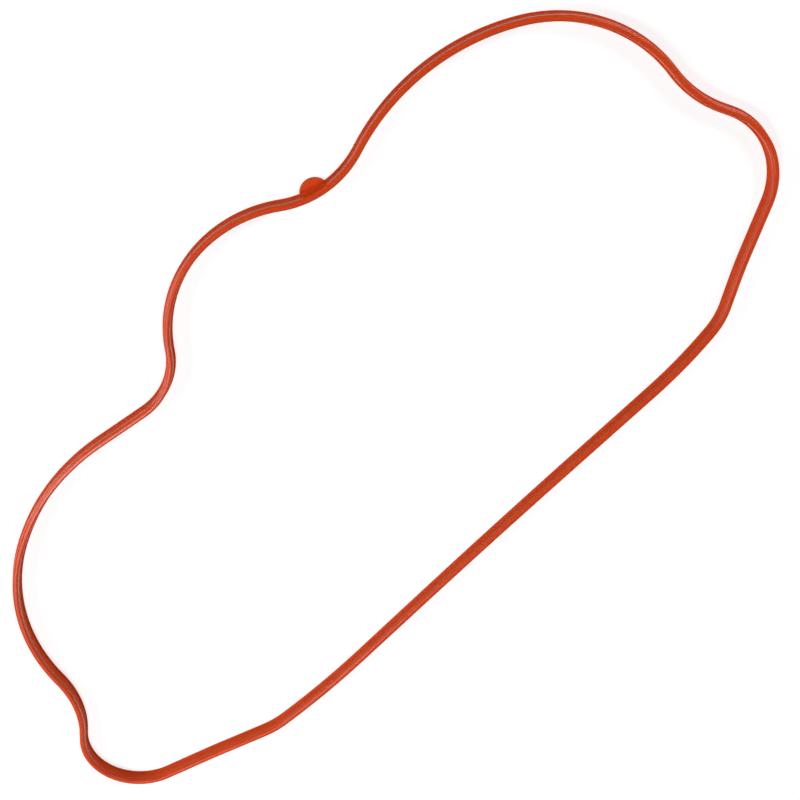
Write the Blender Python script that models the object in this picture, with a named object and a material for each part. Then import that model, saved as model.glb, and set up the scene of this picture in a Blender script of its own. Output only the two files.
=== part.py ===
"""Valve cover gasket: a one-piece moulded silicone loop.

The loop has one section all the way round. A broad foot with two sealing lips lies on the
cylinder head, and a tall tapered rib stands on it and presses into the groove of the valve
cover. A thin half-round tab stands out of the foot in one of the two valleys of the outline,
and shows the fitter which way round the loop goes.

The outline follows the loop as it lies free on a bench. It is a polygon whose corners are
rounded, so that the sealing line is made of arcs and straights that run smoothly into each
other. The section is spun round each arc and extruded along each straight.
"""

import math
from typing import NamedTuple

import bmesh
import bpy
from mathutils import Matrix, Vector

MM = 0.001

# The rib, which the groove of the cover grips
GASKET_HEIGHT = 6.4 * MM
CROWN_WIDTH = 2.1 * MM
CROWN_RADIUS = 0.55 * MM
RIB_DRAFT = math.radians(4.0)

# The foot, which lies on the cylinder head
FOOT_OVERHANG = 0.7 * MM
FOOT_EDGE = 0.8 * MM
COVE_HEIGHT = 0.7 * MM
LIP_WIDTH = 1.3 * MM
LIP_CHAMFER = 0.15 * MM
RELIEF_DEPTH = 0.35 * MM
RELIEF_SLOPE = 0.3 * MM

# The half-round locating tab on the outer side of the right valley
TAB_RADIUS = 6.0 * MM
TAB_THICKNESS = 1.1 * MM
TAB_LIFT = 0.15 * MM
TAB_EDGE_RADIUS = 0.3 * MM
TAB_PAST_VALLEY = 5.0 * MM

# How finely the round stretches are cut into facets
CHORD_ERROR = 0.05 * MM
CROWN_STEPS = 4
COVE_STEPS = 2
TAB_SEGMENTS = 64
TAB_EDGE_STEPS = 2
MERGE_DISTANCE = 0.01 * MM

RUBBER_COLOUR = (0.60, 0.055, 0.004, 1.0)
RUBBER_ROUGHNESS = 0.42

# The corners of the outline, seen from above and named counter-clockwise. X runs along the
# long side from its middle, Y is the height over the long side, and the radius rounds it.

# The right lobe
RIGHT_SIDE_X = 215.0 * MM
RIGHT_SIDE_Y = 143.0 * MM
RIGHT_SIDE_RADIUS = 66.0 * MM
RIGHT_TOP_X = 145.5 * MM
RIGHT_TOP_Y = 188.0 * MM
RIGHT_TOP_RADIUS = 97.0 * MM
RIGHT_VALLEY_X = 81.5 * MM
RIGHT_VALLEY_Y = 170.5 * MM
RIGHT_VALLEY_RADIUS = 44.0 * MM
# The middle lobe, which is the narrowest and reaches furthest out
MIDDLE_LOBE_X = 20.5 * MM
MIDDLE_LOBE_Y = 218.5 * MM
MIDDLE_LOBE_RADIUS = 59.0 * MM
LEFT_VALLEY_X = -28.0 * MM
LEFT_VALLEY_Y = 162.5 * MM
LEFT_VALLEY_RADIUS = 31.0 * MM
# The left lobe
LEFT_TOP_X = -101.0 * MM
LEFT_TOP_Y = 178.0 * MM
LEFT_TOP_RADIUS = 110.0 * MM
LEFT_SIDE_X = -176.5 * MM
LEFT_SIDE_Y = 150.0 * MM
LEFT_SIDE_RADIUS = 89.0 * MM
# The left end, drawn in at its waist
LEFT_WAIST_X = -193.0 * MM
LEFT_WAIST_Y = 87.5 * MM
LEFT_WAIST_RADIUS = 54.0 * MM
LEFT_END_X = -250.5 * MM
LEFT_END_Y = 44.0 * MM
LEFT_END_RADIUS = 28.0 * MM
LEFT_SLANT_X = -178.0 * MM
LEFT_SLANT_Y = 17.0 * MM
LEFT_SLANT_RADIUS = 215.0 * MM
LEFT_FOOT_X = -144.5 * MM
LEFT_FOOT_Y = 3.5 * MM
LEFT_FOOT_RADIUS = 49.0 * MM
# The long side, which waves a little because the rubber lies free
LONG_LEFT_X = -110.5 * MM
LONG_LEFT_RADIUS = 505.0 * MM
LONG_MIDDLE_X = 10.0 * MM
LONG_MIDDLE_Y = 1.5 * MM
LONG_MIDDLE_RADIUS = 5000.0 * MM
LONG_RIGHT_X = 130.5 * MM
LONG_RIGHT_Y = 0.5 * MM
LONG_RIGHT_RADIUS = 235.0 * MM
# The right end, drawn in at its waist
RIGHT_FOOT_X = 156.0 * MM
RIGHT_FOOT_Y = 4.5 * MM
RIGHT_FOOT_RADIUS = 35.0 * MM
RIGHT_SLANT_X = 178.0 * MM
RIGHT_SLANT_Y = 18.0 * MM
RIGHT_SLANT_RADIUS = 240.0 * MM
RIGHT_END_X = 230.5 * MM
RIGHT_END_Y = 46.0 * MM
RIGHT_END_RADIUS = 32.0 * MM
RIGHT_WAIST_X = 210.5 * MM
RIGHT_WAIST_Y = 90.0 * MM
RIGHT_WAIST_RADIUS = 52.0 * MM


class Corner(NamedTuple):
    """A corner of the outline, seen from above, and the radius that rounds it."""

    x: float
    y: float
    radius: float


OUTLINE = {
    "right_side": Corner(RIGHT_SIDE_X, RIGHT_SIDE_Y, RIGHT_SIDE_RADIUS),
    "right_top": Corner(RIGHT_TOP_X, RIGHT_TOP_Y, RIGHT_TOP_RADIUS),
    "right_valley": Corner(RIGHT_VALLEY_X, RIGHT_VALLEY_Y, RIGHT_VALLEY_RADIUS),
    "middle_lobe": Corner(MIDDLE_LOBE_X, MIDDLE_LOBE_Y, MIDDLE_LOBE_RADIUS),
    "left_valley": Corner(LEFT_VALLEY_X, LEFT_VALLEY_Y, LEFT_VALLEY_RADIUS),
    "left_top": Corner(LEFT_TOP_X, LEFT_TOP_Y, LEFT_TOP_RADIUS),
    "left_side": Corner(LEFT_SIDE_X, LEFT_SIDE_Y, LEFT_SIDE_RADIUS),
    "left_waist": Corner(LEFT_WAIST_X, LEFT_WAIST_Y, LEFT_WAIST_RADIUS),
    "left_end": Corner(LEFT_END_X, LEFT_END_Y, LEFT_END_RADIUS),
    "left_slant": Corner(LEFT_SLANT_X, LEFT_SLANT_Y, LEFT_SLANT_RADIUS),
    "left_foot": Corner(LEFT_FOOT_X, LEFT_FOOT_Y, LEFT_FOOT_RADIUS),
    "long_left": Corner(LONG_LEFT_X, 0.0, LONG_LEFT_RADIUS),
    "long_middle": Corner(LONG_MIDDLE_X, LONG_MIDDLE_Y, LONG_MIDDLE_RADIUS),
    "long_right": Corner(LONG_RIGHT_X, LONG_RIGHT_Y, LONG_RIGHT_RADIUS),
    "right_foot": Corner(RIGHT_FOOT_X, RIGHT_FOOT_Y, RIGHT_FOOT_RADIUS),
    "right_slant": Corner(RIGHT_SLANT_X, RIGHT_SLANT_Y, RIGHT_SLANT_RADIUS),
    "right_end": Corner(RIGHT_END_X, RIGHT_END_Y, RIGHT_END_RADIUS),
    "right_waist": Corner(RIGHT_WAIST_X, RIGHT_WAIST_Y, RIGHT_WAIST_RADIUS),
}


class Arc(NamedTuple):
    """The round stretch at one corner. A left turn is positive and a right turn negative."""

    start: Vector
    heading: Vector
    end: Vector
    centre: Vector
    radius: float
    turn: float


def clear_scene():
    for old in list(bpy.data.objects):
        bpy.data.objects.remove(old)


def turn_between(before, after):
    """The signed angle from one direction to the next."""
    return math.atan2(before.cross(after), before.dot(after))


def outline_arcs(corners):
    """Rounds each corner with its own radius, or less where its two edges are too short."""
    points = [Vector((c.x, c.y)) for c in corners]
    count = len(points)
    edges = [points[(i + 1) % count] - points[i] for i in range(count)]
    turns = [turn_between(edges[i - 1], edges[i]) for i in range(count)]
    reaches = [c.radius * math.tan(abs(t) / 2) for c, t in zip(corners, turns)]
    fits = []
    for i in range(count):
        wanted = reaches[i] + reaches[(i + 1) % count]
        fits.append(min(1.0, edges[i].length / wanted))
    arcs = []
    for i in range(count):
        share = min(fits[i - 1], fits[i])
        reach = reaches[i] * share
        radius = corners[i].radius * share
        before = edges[i - 1].normalized()
        start = points[i] - before * reach
        end = points[i] + edges[i].normalized() * reach
        side = math.copysign(1.0, turns[i])
        centre = start + Vector((-before.y, before.x)) * side * radius
        arcs.append(Arc(start, before, end, centre, radius, turns[i]))
    return arcs


def arc_steps(arc):
    """The number of facets that keeps a chord within CHORD_ERROR of its arc."""
    widest = 2 * math.acos(1 - CHORD_ERROR / arc.radius)
    return max(1, math.ceil(abs(arc.turn) / widest))


def point_on(arc, along):
    """The point at that share of an arc, from its start."""
    spoke = arc.start - arc.centre
    return arc.centre + Matrix.Rotation(arc.turn * along, 2) @ spoke


def outline_centre(arcs):
    """The middle of the box round the sealing line."""
    points = [point_on(a, n / arc_steps(a)) for a in arcs for n in range(arc_steps(a) + 1)]
    low = Vector((min(p.x for p in points), min(p.y for p in points)))
    high = Vector((max(p.x for p in points), max(p.y for p in points)))
    return (low + high) / 2


def half_section():
    """One side of the section, from its underside to its top, as (distance out, height)."""
    rib_root = FOOT_EDGE + COVE_HEIGHT
    crown_foot = GASKET_HEIGHT - CROWN_RADIUS
    root_half = CROWN_WIDTH / 2 + (crown_foot - rib_root) * math.tan(RIB_DRAFT)
    foot_half = root_half + FOOT_OVERHANG
    lip_inner = foot_half - LIP_WIDTH
    half = [
        (lip_inner - RELIEF_SLOPE, RELIEF_DEPTH),
        (lip_inner, 0.0),
        (foot_half - LIP_CHAMFER, 0.0),
        (foot_half, LIP_CHAMFER),
    ]
    for step in range(COVE_STEPS + 1):
        angle = math.pi / 2 * step / COVE_STEPS
        out = foot_half - FOOT_OVERHANG * math.sin(angle)
        half.append((out, rib_root - COVE_HEIGHT * math.cos(angle)))
    for step in range(CROWN_STEPS + 1):
        angle = math.pi / 2 * step / CROWN_STEPS
        out = CROWN_WIDTH / 2 - CROWN_RADIUS * (1 - math.cos(angle))
        half.append((out, crown_foot + CROWN_RADIUS * math.sin(angle)))
    return half


def full_section():
    """The whole section as one ring of points. The first half lies on the outer side."""
    half = half_section()
    return half + [(-out, height) for out, height in reversed(half)]


def start_ring(mesh, arc):
    """Stands the section upright across the start of an arc, and returns its edges."""
    outward = Vector((arc.heading.y, -arc.heading.x))
    corners = []
    for out, height in full_section():
        flat = arc.start + outward * out
        corners.append(mesh.verts.new((flat.x, flat.y, height)))
    return [mesh.edges.new((a, b)) for a, b in zip(corners, corners[1:] + corners[:1])]


def ring_of(geometry):
    return [part for part in geometry if isinstance(part, bmesh.types.BMEdge)]


def spin_along(mesh, ring, arc):
    """Carries the section round one arc."""
    verts = list({v for edge in ring for v in edge.verts})
    spun = bmesh.ops.spin(
        mesh,
        geom=verts + ring,
        cent=arc.centre.to_3d(),
        axis=(0, 0, 1),
        angle=arc.turn,
        steps=arc_steps(arc),
    )
    return ring_of(spun["geom_last"])


def extrude_along(mesh, ring, step):
    """Carries the section along one straight."""
    made = bmesh.ops.extrude_edge_only(mesh, edges=ring)["geom"]
    verts = [part for part in made if isinstance(part, bmesh.types.BMVert)]
    bmesh.ops.translate(mesh, verts=verts, vec=step.to_3d())
    last = set(verts)
    return [edge for edge in ring_of(made) if set(edge.verts) <= last]


def sweep_section(arcs):
    """The closed loop: every arc in turn, and the straight from each to the next."""
    mesh = bmesh.new()
    ring = start_ring(mesh, arcs[0])
    for arc, following in zip(arcs, arcs[1:] + arcs[:1]):
        ring = spin_along(mesh, ring, arc)
        straight = following.start - arc.end
        if straight.length > CHORD_ERROR:
            ring = extrude_along(mesh, ring, straight)
        else:
            verts = list({v for edge in ring for v in edge.verts})
            bmesh.ops.translate(mesh, verts=verts, vec=straight.to_3d())
    bmesh.ops.remove_doubles(mesh, verts=mesh.verts, dist=MERGE_DISTANCE)
    bmesh.ops.recalc_face_normals(mesh, faces=mesh.faces)
    return mesh


def tab_frame(valley):
    """Stands on the sealing line where the tab is, with X pointing out of the loop."""
    along = 0.5 + TAB_PAST_VALLEY / (abs(valley.turn) * valley.radius)
    spot = point_on(valley, along)
    out = (valley.centre - spot).normalized()
    turned = Matrix.Rotation(math.atan2(out.y, out.x), 4, "Z")
    return Matrix.Translation(spot.to_3d()) @ turned


def round_tab(valley):
    """A disc with a rounded upper rim, cut off inside the foot."""
    mesh = bmesh.new()
    bmesh.ops.create_circle(
        mesh, cap_ends=True, radius=TAB_RADIUS, segments=TAB_SEGMENTS
    )
    raised = bmesh.ops.extrude_face_region(mesh, geom=list(mesh.faces))["geom"]
    upper = [part for part in raised if isinstance(part, bmesh.types.BMVert)]
    bmesh.ops.translate(mesh, verts=upper, vec=(0, 0, TAB_THICKNESS))
    rim = [edge for edge in mesh.edges if set(edge.verts) <= set(upper)]
    bmesh.ops.bevel(
        mesh,
        geom=rim,
        offset=TAB_EDGE_RADIUS,
        offset_type="OFFSET",
        segments=TAB_EDGE_STEPS,
        profile=0.5,
        affect="EDGES",
        material=-1,
    )
    foot_half = max(out for out, height in half_section())
    cut = bmesh.ops.bisect_plane(
        mesh,
        geom=list(mesh.verts) + list(mesh.edges) + list(mesh.faces),
        plane_co=(foot_half - LIP_WIDTH / 2, 0, 0),
        plane_no=(1, 0, 0),
        clear_inner=True,
    )
    open_edges = ring_of(cut["geom_cut"])
    bmesh.ops.holes_fill(mesh, edges=open_edges, sides=0)
    bmesh.ops.recalc_face_normals(mesh, faces=mesh.faces)
    place = tab_frame(valley) @ Matrix.Translation((0, 0, TAB_LIFT))
    bmesh.ops.transform(mesh, matrix=place, verts=mesh.verts)
    return mesh


def add_object(name, mesh, material):
    data = bpy.data.meshes.new(name)
    mesh.to_mesh(data)
    mesh.free()
    data.materials.append(material)
    data.shade_smooth()
    data.set_sharp_from_angle(angle=math.radians(35))
    made = bpy.data.objects.new(name, data)
    bpy.context.scene.collection.objects.link(made)
    return made


def silicone_rubber():
    """Orange-red moulded silicone with a soft gloss."""
    material = bpy.data.materials.new("silicone_rubber")
    material.use_nodes = True
    surface = material.node_tree.nodes["Principled BSDF"]
    surface.inputs["Base Color"].default_value = RUBBER_COLOUR
    surface.inputs["Roughness"].default_value = RUBBER_ROUGHNESS
    surface.inputs["Metallic"].default_value = 0.0
    return material


def join_tab(loop, tab):
    """The tab is moulded in one with the loop."""
    union = loop.modifiers.new("join_tab", "BOOLEAN")
    union.operation = "UNION"
    union.solver = "EXACT"
    union.object = tab
    tab.hide_render = True
    tab.display_type = "WIRE"


def build():
    clear_scene()
    corners = list(OUTLINE.values())
    middle = outline_centre(outline_arcs(corners))
    arcs = outline_arcs([Corner(c.x - middle.x, c.y - middle.y, c.radius) for c in corners])
    rubber = silicone_rubber()
    loop = add_object("cover_gasket", sweep_section(arcs), rubber)
    valley = arcs[list(OUTLINE).index("right_valley")]
    tab = add_object("tab_shape", round_tab(valley), rubber)
    join_tab(loop, tab)


build()
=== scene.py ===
# %% [markdown]
# # A valve cover gasket in orange-red silicone rubber
#
# The gasket is one long loop of moulded rubber. Its whole shape comes from two drawings: the
# outline that it follows on the engine, and the small section that it has all the way round.
# This lesson draws both, carries the section round the outline, adds the half-round tab, and
# then spends its time on what makes rubber look like rubber: its colour, its soft gloss and
# the marks that a mould leaves.

# %% Load the frame and note its size
import math
from typing import NamedTuple

import bmesh
import bpy
from mathutils import Matrix, Vector


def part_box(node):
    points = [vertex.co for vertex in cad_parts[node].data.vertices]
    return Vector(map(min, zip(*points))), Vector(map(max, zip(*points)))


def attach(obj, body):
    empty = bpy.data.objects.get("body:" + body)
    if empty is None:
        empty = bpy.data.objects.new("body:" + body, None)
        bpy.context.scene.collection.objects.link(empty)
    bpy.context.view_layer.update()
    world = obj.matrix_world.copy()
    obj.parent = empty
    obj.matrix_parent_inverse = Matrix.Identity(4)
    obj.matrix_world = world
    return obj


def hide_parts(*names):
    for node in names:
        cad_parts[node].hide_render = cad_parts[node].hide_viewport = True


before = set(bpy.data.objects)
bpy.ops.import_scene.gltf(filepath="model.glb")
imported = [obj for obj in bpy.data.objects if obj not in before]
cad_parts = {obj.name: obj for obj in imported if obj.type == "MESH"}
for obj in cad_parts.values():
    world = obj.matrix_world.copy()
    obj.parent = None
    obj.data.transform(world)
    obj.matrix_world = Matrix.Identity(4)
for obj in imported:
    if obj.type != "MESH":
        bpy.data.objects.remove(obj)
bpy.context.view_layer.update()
gasket_low, gasket_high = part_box("cover_gasket")
print("solid gasket, in mm:", [round(side * 1000, 1) for side in gasket_high - gasket_low])

# %% [markdown]
# ## The sizes of the section
#
# Every length is written in millimetres and turned to metres once, because that is how a
# drawing of such a seal is dimensioned. The height comes from the frame. A section this small
# is all about its radii: a sharp edge would catch no light, and a moulded rubber edge is
# never sharp.

# %% Sizes of the section
MM = 0.001

GASKET_HEIGHT = gasket_high.z
RIB_ROOT = 1.4 * MM
RIB_SHOULDER = 1.3 * MM
SHOULDER_ROUND = 0.95 * MM

FOOT_WIDTH = 4.2 * MM
FOOT_EDGE = 0.8 * MM
COVE_RADIUS = 0.45 * MM
LIP_WIDTH = 1.3 * MM
LIP_RADIUS = 0.15 * MM
FOOT_EDGE_RADIUS = 0.15 * MM
RELIEF_DEPTH = 0.35 * MM
RELIEF_SLOPE = 0.3 * MM
RELIEF_RADIUS = 0.1 * MM
PARTING_HEIGHT = 0.4 * MM
PARTING_WIDTH = 0.12 * MM
PARTING_RIDGE = 0.05 * MM
PARTING_RADIUS = 0.02 * MM
print("section, in mm:", round(FOOT_WIDTH / MM, 2), "by", round(GASKET_HEIGHT / MM, 2))

# %% [markdown]
# ## The outline
#
# On the real engine the seal runs in a milled groove, and a milled groove is made of arcs and
# straights. So the outline is kept as a polygon with a radius at each corner, which is also
# the shortest way to write it: 18 corners give the three lobes, the two valleys between them,
# the drawn-in ends and the long side. The long side's three corners bend it by a millimetre,
# because the rubber lies free. A Bezier curve could follow the same line, but its radii
# could not be read from it.

# %% The corners of the outline, counter-clockwise: x, y and radius in mm
OUTLINE = {
    "right_side": (215.0, 143.0, 66.0),
    "right_top": (145.5, 188.0, 97.0),
    "right_valley": (81.5, 170.5, 44.0),
    "middle_lobe": (20.5, 218.5, 59.0),
    "left_valley": (-28.0, 162.5, 31.0),
    "left_top": (-101.0, 178.0, 110.0),
    "left_side": (-176.5, 150.0, 89.0),
    "left_waist": (-193.0, 87.5, 54.0),
    "left_end": (-250.5, 44.0, 28.0),
    "left_slant": (-178.0, 17.0, 215.0),
    "left_foot": (-144.5, 3.5, 49.0),
    "long_left": (-110.5, 0.0, 505.0),
    "long_middle": (10.0, 1.5, 5000.0),
    "long_right": (130.5, 0.5, 235.0),
    "right_foot": (156.0, 4.5, 35.0),
    "right_slant": (178.0, 18.0, 240.0),
    "right_end": (230.5, 46.0, 32.0),
    "right_waist": (210.5, 90.0, 52.0),
}
print("corners in the outline:", len(OUTLINE))


# %% [markdown]
# ## From corners to arcs
#
# An arc that touches both edges of a corner starts and ends at the same distance from it, the
# radius times the tangent of half the turn. Where two neighbouring arcs would need more room
# than their edge has, both give way. The outline is then set on the middle of the solid.


# %% An arc, and the steps along it
CHORD_ERROR = 0.004 * MM
LONGEST_STEP = 2.5 * MM


class Arc(NamedTuple):
    """The round stretch at one corner. A left turn is positive and a right turn negative."""

    start: Vector
    heading: Vector
    end: Vector
    centre: Vector
    radius: float
    turn: float


def arc_steps(arc):
    """Pieces that keep within CHORD_ERROR of the arc and under LONGEST_STEP."""
    widest = 2 * math.acos(1 - CHORD_ERROR / arc.radius)
    return math.ceil(abs(arc.turn) / min(widest, LONGEST_STEP / arc.radius))


def point_on(arc, along):
    """The point at that share of an arc, from its start."""
    spoke = arc.start - arc.centre
    return arc.centre + Matrix.Rotation(arc.turn * along, 2) @ spoke


# %% Round the corners
def round_corners(corners):
    """One arc for each corner, touching both of its edges."""
    points = [Vector((x, y)) * MM for x, y, radius in corners]
    radii = [radius * MM for x, y, radius in corners]
    count = len(points)
    edges = [points[(i + 1) % count] - points[i] for i in range(count)]
    turns = []
    for i in range(count):
        before, after = edges[i - 1], edges[i]
        turns.append(math.atan2(before.cross(after), before.dot(after)))
    reaches = [radius * math.tan(abs(turn) / 2) for radius, turn in zip(radii, turns)]
    fits = []
    for i in range(count):
        wanted = reaches[i] + reaches[(i + 1) % count]
        fits.append(min(1.0, edges[i].length / wanted))
    arcs = []
    for i in range(count):
        share = min(fits[i - 1], fits[i])
        heading = edges[i - 1].normalized()
        start = points[i] - heading * reaches[i] * share
        end = points[i] + edges[i].normalized() * reaches[i] * share
        radius = radii[i] * share
        side = math.copysign(1.0, turns[i])
        centre = start + Vector((-heading.y, heading.x)) * side * radius
        arcs.append(Arc(start, heading, end, centre, radius, turns[i]))
    return arcs


rounded = round_corners(list(OUTLINE.values()))
print("tightest radius, in mm:", round(min(arc.radius for arc in rounded) / MM, 1))


# %% Set the outline on the middle of the solid
def moved(arc, by):
    return arc._replace(start=arc.start + by, end=arc.end + by, centre=arc.centre + by)


def centred_on(arcs, middle):
    """The same arcs with the middle of their box at that point."""
    points = [point_on(a, n / arc_steps(a)) for a in arcs for n in range(arc_steps(a) + 1)]
    low = Vector((min(p.x for p in points), min(p.y for p in points)))
    high = Vector((max(p.x for p in points), max(p.y for p in points)))
    return [moved(arc, middle - (low + high) / 2) for arc in arcs]


solid_middle = ((gasket_low + gasket_high) / 2).to_2d()
arcs = centred_on(rounded, solid_middle)
print("steps round the arcs:", sum(arc_steps(arc) for arc in arcs))


# %% [markdown]
# ## The section
#
# The section could be written as a long list of points. It is easier to read, and to change,
# as the few corners that a draughtsman would draw, each rounded afterwards by a vertex bevel
# with its own radius. The foot has two lips under it, because rubber seals by the pressure
# on a narrow strip. The rib stands in a groove of the cover, and its shoulders are so round
# that little of its crown is flat. A fine ridge along the foot shows where the two halves of
# the mould met.


# %% The corners of the section
RIDGE_STEPS = 1
RELIEF_STEPS = 2
FOOT_STEPS = 3
COVE_STEPS = 5
SHOULDER_STEPS = 12


def side_corners():
    """One side from the underside up to the crown: distance out, height, radius, steps."""
    edge = FOOT_WIDTH / 2
    lip = edge - LIP_WIDTH
    return [
        (lip - RELIEF_SLOPE, RELIEF_DEPTH, RELIEF_RADIUS, RELIEF_STEPS),
        (lip, 0.0, RELIEF_RADIUS, RELIEF_STEPS),
        (edge, 0.0, LIP_RADIUS, FOOT_STEPS),
        (edge, PARTING_HEIGHT - PARTING_WIDTH / 2, PARTING_RADIUS, RIDGE_STEPS),
        (edge + PARTING_RIDGE, PARTING_HEIGHT, PARTING_RADIUS, RIDGE_STEPS),
        (edge, PARTING_HEIGHT + PARTING_WIDTH / 2, PARTING_RADIUS, RIDGE_STEPS),
        (edge, FOOT_EDGE, FOOT_EDGE_RADIUS, FOOT_STEPS),
        (RIB_ROOT, FOOT_EDGE, COVE_RADIUS, COVE_STEPS),
        (RIB_SHOULDER, GASKET_HEIGHT, SHOULDER_ROUND, SHOULDER_STEPS),
    ]


def section_corners():
    """All the way round: the outer side going up and the same corners coming down."""
    outer = side_corners()
    inner = [(-out, height, radius, steps) for out, height, radius, steps in reversed(outer)]
    return outer + inner


print("corners in the section:", len(section_corners()))


# %% Draw the section
def draw_section():
    """The section as one flat face that stands on the XZ plane, outer side towards +X."""
    corners = section_corners()
    mesh = bmesh.new()
    verts = [mesh.verts.new((out, 0, height)) for out, height, radius, steps in corners]
    mesh.faces.new(verts)
    for vert, (out, height, radius, steps) in zip(verts, corners):
        bmesh.ops.bevel(
            mesh,
            geom=[vert],
            offset=radius,
            offset_type="OFFSET",
            segments=steps,
            profile=0.5,
            affect="VERTICES",
            material=-1,
        )
    return mesh


section_mesh = draw_section()
print("edges round the section:", len(section_mesh.edges))


# %% [markdown]
# ## The loop
#
# The section stands across the start of the first arc. Spin carries it round an arc, and
# extrude carries it along a straight, exactly as a cutter runs along a groove. A curve with a
# bevel object would be quicker to set up, but it cuts its corners at every point, while a
# spin keeps the section true. At the end the last ring lies on the first, and the two are
# merged.


# %% Steps along an arc and a straight
def edges_in(geometry):
    return [part for part in geometry if isinstance(part, bmesh.types.BMEdge)]


def spin_along(mesh, ring, arc):
    """Carries a ring of edges round an arc and gives the ring at its end."""
    corners = list({vert for edge in ring for vert in edge.verts})
    spun = bmesh.ops.spin(
        mesh,
        geom=corners + ring,
        cent=arc.centre.to_3d(),
        axis=(0, 0, 1),
        angle=arc.turn,
        steps=arc_steps(arc),
    )
    return edges_in(spun["geom_last"])


def extrude_along(mesh, ring, straight):
    """Carries a ring of edges along a straight in short steps and gives the last ring."""
    steps = math.ceil(straight.length / LONGEST_STEP)
    for step in range(steps):
        made = bmesh.ops.extrude_edge_only(mesh, edges=ring)["geom"]
        fresh = {part for part in made if isinstance(part, bmesh.types.BMVert)}
        bmesh.ops.translate(mesh, verts=list(fresh), vec=straight.to_3d() / steps)
        ring = [edge for edge in edges_in(made) if set(edge.verts) <= fresh]
    return ring


# %% Carry the section round the outline
MERGE_DISTANCE = 0.01 * MM


def sweep_section(mesh, arcs):
    """Turns the flat section into the skin of the whole loop."""
    outward = Vector((arcs[0].heading.y, -arcs[0].heading.x))
    turned = Matrix.Rotation(math.atan2(outward.y, outward.x), 4, "Z")
    place = Matrix.Translation(arcs[0].start.to_3d()) @ turned
    bmesh.ops.transform(mesh, matrix=place, verts=mesh.verts)
    bmesh.ops.delete(mesh, geom=list(mesh.faces), context="FACES_ONLY")
    ring = list(mesh.edges)
    for arc, following in zip(arcs, arcs[1:] + arcs[:1]):
        ring = spin_along(mesh, ring, arc)
        straight = following.start - arc.end
        if straight.length > MERGE_DISTANCE:
            ring = extrude_along(mesh, ring, straight)
    bmesh.ops.remove_doubles(mesh, verts=mesh.verts, dist=MERGE_DISTANCE)
    bmesh.ops.recalc_face_normals(mesh, faces=mesh.faces)
    return mesh


loop_mesh = sweep_section(section_mesh, arcs)
print("faces round the loop:", len(loop_mesh.faces))


# %% [markdown]
# ## The tab
#
# A half-round tab gives the fitter something to hold, and shows which way round the seal
# goes. It is a disc with a rounded rim, cut in half and let into the foot on the outer side of
# the right valley. It is thinner than the foot and hangs a little clear of the surface below,
# so that it never takes load from the lips. Its outline could be drawn as half a circle, but
# a whole disc has its rim rounded by one bevel, and a plane then cuts it cleanly.

# %% Sizes of the tab
TAB_RADIUS = 6.4 * MM
TAB_THICKNESS = 1.1 * MM
TAB_LIFT = 0.15 * MM
TAB_EDGE_RADIUS = 0.3 * MM
TAB_EDGE_STEPS = 5
TAB_PAST_VALLEY = 5.0 * MM
TAB_CUT = (FOOT_WIDTH - LIP_WIDTH) / 2
TAB_SEGMENTS = 160
print("tab stands out of the foot, in mm:", round((TAB_RADIUS - FOOT_WIDTH / 2) / MM, 1))


# %% Shape the tab
def arc_at(corner):
    return arcs[list(OUTLINE).index(corner)]


def tab_place():
    """Stands on the sealing line where the tab is, with X pointing out of the loop."""
    valley = arc_at("right_valley")
    along = 0.5 + TAB_PAST_VALLEY / (abs(valley.turn) * valley.radius)
    spot = point_on(valley, along)
    out = (valley.centre - spot).normalized()
    turned = Matrix.Rotation(math.atan2(out.y, out.x), 4, "Z")
    return Matrix.Translation(spot.to_3d()) @ turned


def shape_tab():
    """A disc with a rounded upper rim, cut off inside the foot."""
    mesh = bmesh.new()
    bmesh.ops.create_circle(mesh, cap_ends=True, radius=TAB_RADIUS, segments=TAB_SEGMENTS)
    raised = bmesh.ops.extrude_face_region(mesh, geom=list(mesh.faces))["geom"]
    upper = [part for part in raised if isinstance(part, bmesh.types.BMVert)]
    bmesh.ops.translate(mesh, verts=upper, vec=(0, 0, TAB_THICKNESS))
    rim = [edge for edge in mesh.edges if set(edge.verts) <= set(upper)]
    bmesh.ops.bevel(
        mesh,
        geom=rim,
        offset=TAB_EDGE_RADIUS,
        offset_type="OFFSET",
        segments=TAB_EDGE_STEPS,
        profile=0.5,
        affect="EDGES",
        material=-1,
    )
    cut = bmesh.ops.bisect_plane(
        mesh,
        geom=list(mesh.verts) + list(mesh.edges) + list(mesh.faces),
        plane_co=(TAB_CUT, 0, 0),
        plane_no=(1, 0, 0),
        clear_inner=True,
    )
    bmesh.ops.holes_fill(mesh, edges=edges_in(cut["geom_cut"]), sides=0)
    bmesh.ops.recalc_face_normals(mesh, faces=mesh.faces)
    place = tab_place() @ Matrix.Translation((0, 0, TAB_LIFT))
    bmesh.ops.transform(mesh, matrix=place, verts=mesh.verts)
    return mesh


tab_mesh = shape_tab()
print("tab stands at, in mm:", [round(x / MM, 1) for x in tab_place().translation])


# %% [markdown]
# ## The marks of the mould
#
# Air leaves a rubber mould through fine slots, and each slot leaves a low bar of rubber on the
# shoulder of the rib. A bump in the material could draw them, but it would be missing from the
# mesh. So they are flattened spheres, sunk a little into the shoulder, which fade out at
# their ends as flash that was wiped off does.


# %% Vent marks on the inner shoulder
VENT_LENGTH = 0.9 * MM
VENT_WIDTH = 0.4 * MM
VENT_RISE = 0.1 * MM
VENT_SINK = 0.03 * MM
VENT_SEGMENTS = 24
SHOULDER_TILT = math.radians(45)
VENTS = {
    "long_middle": (0.1, 0.38),
    "left_slant": (0.5,),
    "left_side": (0.85,),
    "right_waist": (0.35,),
    "middle_lobe": (0.5,),
}


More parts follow.
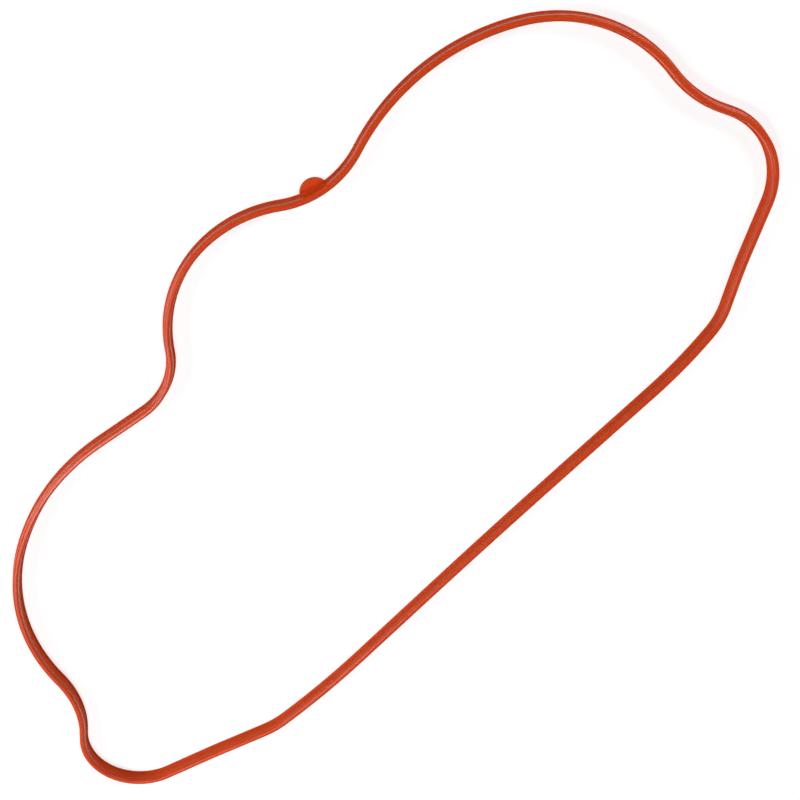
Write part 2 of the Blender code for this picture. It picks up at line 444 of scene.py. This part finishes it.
def shoulder_place(arc, along):
    """Stands on the middle of the inner shoulder, with X up along it and Z out of it."""
    spot = point_on(arc, along)
    out = (spot - arc.centre).normalized() * math.copysign(1.0, arc.turn)
    turned = Matrix.Rotation(math.atan2(out.y, out.x), 4, "Z")
    inset = SHOULDER_ROUND * (1 - math.cos(SHOULDER_TILT)) + VENT_SINK
    middle = Vector((inset - RIB_SHOULDER, 0, GASKET_HEIGHT - inset))
    slope = Matrix.Rotation(-SHOULDER_TILT, 4, "Y")
    return Matrix.Translation(spot.to_3d()) @ turned @ Matrix.Translation(middle) @ slope


def shape_vents():
    """One flattened sphere for each share of an arc that VENTS names."""
    mesh = bmesh.new()
    size = Matrix.Diagonal((VENT_LENGTH / 2, VENT_WIDTH / 2, VENT_RISE, 1))
    for corner, shares in VENTS.items():
        for along in shares:
            bmesh.ops.create_uvsphere(
                mesh,
                u_segments=VENT_SEGMENTS,
                v_segments=VENT_SEGMENTS // 2,
                radius=1,
                matrix=shoulder_place(arc_at(corner), along) @ size,
            )
    return mesh


vents_mesh = shape_vents()
print("vent marks:", sum(len(shares) for shares in VENTS.values()))


# %% [markdown]
# ## One piece of rubber
#
# The tab and the marks were moulded with the loop, so they all become one closed skin. A
# voxel remesh would do that too, but it would round off the lips and the parting ridge. A
# Boolean union keeps every edge where it was drawn. The result is applied at once, because
# the finished piece should be a plain mesh.


# %% Join the tab and the marks to the loop
SHARP_ANGLE = math.radians(40)


def add_object(name, mesh):
    """A bmesh as an object at the origin of the scene."""
    data = bpy.data.meshes.new(name)
    mesh.to_mesh(data)
    mesh.free()
    made = bpy.data.objects.new(name, data)
    bpy.context.scene.collection.objects.link(made)
    return made


def union_of(body, extra):
    """Grows the extra shape on to the body and leaves the body a plain mesh."""
    join = body.modifiers.new("join", "BOOLEAN")
    join.operation = "UNION"
    join.solver = "EXACT"
    join.object = extra
    bpy.context.view_layer.update()
    graph = bpy.context.evaluated_depsgraph_get()
    joined = bpy.data.meshes.new_from_object(body.evaluated_get(graph))
    body.modifiers.clear()
    body.data = joined
    bpy.data.objects.remove(extra)


gasket = add_object("moulded_gasket", loop_mesh)
union_of(gasket, add_object("tab", tab_mesh))
union_of(gasket, add_object("vents", vents_mesh))
gasket.data.shade_smooth()
gasket.data.set_sharp_from_angle(angle=SHARP_ANGLE)
print("faces in the gasket:", len(gasket.data.polygons))


# %% [markdown]
# ## Silicone rubber, moulded and left as it came
#
# Silicone for cover gaskets is pigmented all through, so its colour doesn't wear off an edge.
# It is a little translucent: light enters the thin rib on its bright side and comes out deep
# red on the dark side, which is why the shaded walls are so much redder than the crown. Only
# the part of the mould that forms the crown was polished, so the crown has a soft gloss and
# the walls below it are matt. That could be two materials with a border between them. One
# material whose roughness follows the height needs no border, and it stays right when the
# section changes.


# %% Colours and nodes
def linear(hex_colour):
    """An sRGB hex colour as linear red, green, blue and full alpha."""
    parts = [int(hex_colour[i : i + 2], 16) / 255 for i in (1, 3, 5)]
    made = [p / 12.92 if p <= 0.04045 else ((p + 0.055) / 1.055) ** 2.4 for p in parts]
    return (*made, 1.0)


def add_node(tree, kind, settings=None, values=None, links=None):
    """Adds a node, sets its options and socket values, and links its inputs."""
    node = tree.nodes.new(kind)
    for name, value in (settings or {}).items():
        setattr(node, name, value)
    for name, value in (values or {}).items():
        node.inputs[name].default_value = value
    for name, socket in (links or {}).items():
        tree.links.new(socket, node.inputs[name])
    return node


RUBBER_PALE = linear("#DE4E0C")
RUBBER_DEEP = linear("#D24107")
print("pale rubber, linear:", [round(part, 3) for part in RUBBER_PALE])


# %% What silicone does with light
# The pigment is unevenly mixed over lengths of about a centimetre. Real mould grain is nearer
# to 0.05 mm, and it is drawn coarser, because otherwise nothing of it would show.
CLOUD_SIZE = 9 * MM
CLOUD_DETAIL = 3.0
GRAIN_SIZE = 0.35 * MM
GRAIN_DETAIL = 2.0
GRAIN_DEPTH = 0.02 * MM
GRAIN_STRENGTH = 0.05
MATT_BELOW = 3.9 * MM
POLISHED_ABOVE = 4.5 * MM
WALL_ROUGHNESS = 0.6
CROWN_ROUGHNESS = 0.24
SILICONE_IOR = 1.42
SURFACE_GLOSS = 0.25
TRANSLUCENCY = 0.7
REACH_OF_RED_GREEN_BLUE = (1.0, 0.12, 0.03)
LIGHT_REACH = 0.8 * MM
print("light reaches into the rubber, in mm:", round(LIGHT_REACH / MM, 2))


# %% Moulded silicone rubber
def moulded_silicone():
    """Pigmented silicone as it leaves the mould: matt walls and a softly polished crown."""
    material = bpy.data.materials.new("moulded_silicone_rubber")
    material.use_nodes = True
    tree = material.node_tree
    surface = tree.nodes["Principled BSDF"]
    place = add_node(tree, "ShaderNodeTexCoord").outputs["Object"]
    cloud = add_node(
        tree,
        "ShaderNodeTexNoise",
        values={"Scale": 1 / CLOUD_SIZE, "Detail": CLOUD_DETAIL},
        links={"Vector": place},
    )
    colour = add_node(
        tree,
        "ShaderNodeMix",
        settings={"data_type": "RGBA"},
        values={"A": RUBBER_DEEP, "B": RUBBER_PALE},
        links={"Factor": cloud.outputs["Fac"]},
    )
    grain = add_node(
        tree,
        "ShaderNodeTexNoise",
        values={"Scale": 1 / GRAIN_SIZE, "Detail": GRAIN_DETAIL},
        links={"Vector": place},
    )
    height = add_node(tree, "ShaderNodeSeparateXYZ", links={"Vector": place}).outputs["Z"]
    polish = add_node(
        tree,
        "ShaderNodeMapRange",
        values={
            "From Min": MATT_BELOW,
            "From Max": POLISHED_ABOVE,
            "To Min": WALL_ROUGHNESS,
            "To Max": CROWN_ROUGHNESS,
        },
        links={"Value": height},
    )
    bump = add_node(
        tree,
        "ShaderNodeBump",
        values={"Strength": GRAIN_STRENGTH, "Distance": GRAIN_DEPTH},
        links={"Height": grain.outputs["Fac"]},
    )
    tree.links.new(colour.outputs["Result"], surface.inputs["Base Color"])
    tree.links.new(polish.outputs["Result"], surface.inputs["Roughness"])
    tree.links.new(bump.outputs["Normal"], surface.inputs["Normal"])
    surface.inputs["IOR"].default_value = SILICONE_IOR
    surface.inputs["Specular IOR Level"].default_value = SURFACE_GLOSS
    surface.inputs["Subsurface Weight"].default_value = TRANSLUCENCY
    surface.inputs["Subsurface Radius"].default_value = REACH_OF_RED_GREEN_BLUE
    surface.inputs["Subsurface Scale"].default_value = LIGHT_REACH
    return material


# %% Finish the gasket
gasket.data.materials.clear()
gasket.data.materials.append(moulded_silicone())
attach(gasket, "root")
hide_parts("cover_gasket")
print("finish:", gasket.data.materials[0].name)

# %% [markdown]
# ## The table
#
# A small bright product is photographed on white. A white floor could be lit until it is
# white in the picture, but that much light would wash out the rubber. So the floor is a large
# grey plane just under the gasket, with a glow that only the camera and the rubber's gloss can
# see. It reads as white, lights nothing, and still takes the soft shadow of the rubber.


# %% A glow that lights nothing
def seen_directly(tree):
    """1 for a ray from the camera, a gloss or a clear piece, and 0 for the light of a bounce."""
    rays = add_node(tree, "ShaderNodeLightPath")
    direct = add_node(
        tree,
        "ShaderNodeMath",
        settings={"operation": "MAXIMUM"},
        links={0: rays.outputs["Is Camera Ray"], 1: rays.outputs["Is Glossy Ray"]},
    )
    seen = add_node(
        tree,
        "ShaderNodeMath",
        settings={"operation": "MAXIMUM"},
        links={0: direct.outputs[0], 1: rays.outputs["Is Transmission Ray"]},
    )
    return seen.outputs[0]


# %% The floor
FLOOR_SIDE = 6.0
FLOOR_GAP = 0.05 * MM
FLOOR_GREY = linear("#AAAAAA")
FLOOR_ROUGHNESS = 0.9
FLOOR_GLOW = (0.75, 0.75, 0.75, 1.0)


def white_table():
    """Matt grey paint with the glow added to it, which the camera sees as white."""
    material = bpy.data.materials.new("white_table")
    material.use_nodes = True
    tree = material.node_tree
    paint = tree.nodes["Principled BSDF"]
    paint.inputs["Base Color"].default_value = FLOOR_GREY
    paint.inputs["Roughness"].default_value = FLOOR_ROUGHNESS
    paint.inputs["Specular IOR Level"].default_value = 0.0
    glow = add_node(
        tree,
        "ShaderNodeEmission",
        values={"Color": FLOOR_GLOW},
        links={"Strength": seen_directly(tree)},
    )
    both = add_node(tree, "ShaderNodeAddShader")
    tree.links.new(paint.outputs[0], both.inputs[0])
    tree.links.new(glow.outputs[0], both.inputs[1])
    tree.links.new(both.outputs[0], tree.nodes["Material Output"].inputs["Surface"])
    return material


def add_floor():
    mesh = bmesh.new()
    bmesh.ops.create_grid(mesh, x_segments=1, y_segments=1, size=FLOOR_SIDE / 2)
    bmesh.ops.translate(mesh, verts=mesh.verts, vec=(0, 0, -FLOOR_GAP))
    floor = add_object("floor", mesh)
    floor.data.materials.append(white_table())


add_floor()
print("floor side, in m:", FLOOR_SIDE)

# %% [markdown]
# ## The light
#
# Two soft boxes stand low at either side, as on a copy stand, and a smaller one hangs high
# over the long side. The low ones draw a pale line along each shoulder and pale the walls
# that face them. The walls that face away from them stay deep red, because the world adds
# almost nothing. One large overhead light would be simpler, but it would flatten the section
# to a plain band.


# %% Soft boxes
LAMP_DISTANCE = 1.2


def add_soft_box(name, bearing, height, side, watts):
    """An area lamp that looks at the middle of the gasket. Bearings turn from +X to +Y."""
    lamp = bpy.data.lights.new(name, "AREA")
    lamp.shape = "SQUARE"
    lamp.size = side
    lamp.energy = watts
    box = bpy.data.objects.new(name, lamp)
    bpy.context.scene.collection.objects.link(box)
    turn = Matrix.Rotation(math.radians(bearing), 3, "Z")
    rise = Matrix.Rotation(math.radians(-height), 3, "Y")
    back = turn @ rise @ Vector((1, 0, 0))
    box.location = back * LAMP_DISTANCE
    box.rotation_mode = "QUATERNION"
    box.rotation_quaternion = back.to_track_quat("Z", "Y")
    print(name, "watts:", watts)


add_soft_box("left_soft_box", bearing=134, height=27, side=0.4, watts=9)
add_soft_box("right_soft_box", bearing=-1, height=25, side=0.4, watts=7)
add_soft_box("high_soft_box", bearing=192, height=58, side=0.3, watts=5.5)


# %% The world
WORLD_LIGHT = 0.03
WORLD_SEEN = 0.8


def add_world():
    """A pale studio wall all round, which gives hardly any light of its own."""
    world = bpy.data.worlds.new("studio")
    world.use_nodes = True
    tree = world.node_tree
    wall = tree.nodes["Background"]
    wall.inputs["Color"].default_value = (1, 1, 1, 1)
    strength = add_node(
        tree,
        "ShaderNodeMapRange",
        values={"To Min": WORLD_LIGHT, "To Max": WORLD_SEEN},
        links={"Value": seen_directly(tree)},
    )
    tree.links.new(strength.outputs["Result"], wall.inputs["Strength"])
    bpy.context.scene.world = world


add_world()
print("strength of the world's light:", WORLD_LIGHT)

# %% [markdown]
# ## The camera
#
# The picture was taken from about half a metre, 28 degrees off straight down, with the gasket
# turned across the frame. So the rib hides one ledge of the foot along one side of the loop
# and the other ledge along the other side. A camera straight above would be easier to place,
# but the height of the section could not be seen from there.

# %% The camera
TARGET = Vector((31.9, -14.4, 0.0)) * MM
CAMERA_DISTANCE = 531.3 * MM
CAMERA_AZIMUTH = math.radians(145.08)
CAMERA_ELEVATION = math.radians(62.45)
CAMERA_ROLL = math.radians(167.49)
LENS_MM = 53.15
SENSOR_MM = 36.0
NEAREST_SEEN = 10 * MM


def add_camera():
    """A camera that looks at TARGET from its distance, azimuth and elevation, then rolls."""
    lens = bpy.data.cameras.new("camera")
    lens.lens = LENS_MM
    lens.sensor_width = SENSOR_MM
    lens.clip_start = NEAREST_SEEN
    camera = bpy.data.objects.new("camera", lens)
    bpy.context.scene.collection.objects.link(camera)
    level = math.cos(CAMERA_ELEVATION)
    back = Vector(
        (
            math.sin(CAMERA_AZIMUTH) * level,
            -math.cos(CAMERA_AZIMUTH) * level,
            math.sin(CAMERA_ELEVATION),
        )
    )
    aim = (-back).to_track_quat("-Z", "Y").to_matrix()
    roll = Matrix.Rotation(CAMERA_ROLL, 3, "Z")
    place = Matrix.Translation(TARGET + back * CAMERA_DISTANCE)
    camera.matrix_world = place @ (aim @ roll).to_4x4()
    bpy.context.scene.camera = camera
    print("camera stands at, in mm:", [round(x / MM, 1) for x in place.translation])


add_camera()
bpy.context.scene.view_settings.view_transform = "Standard"
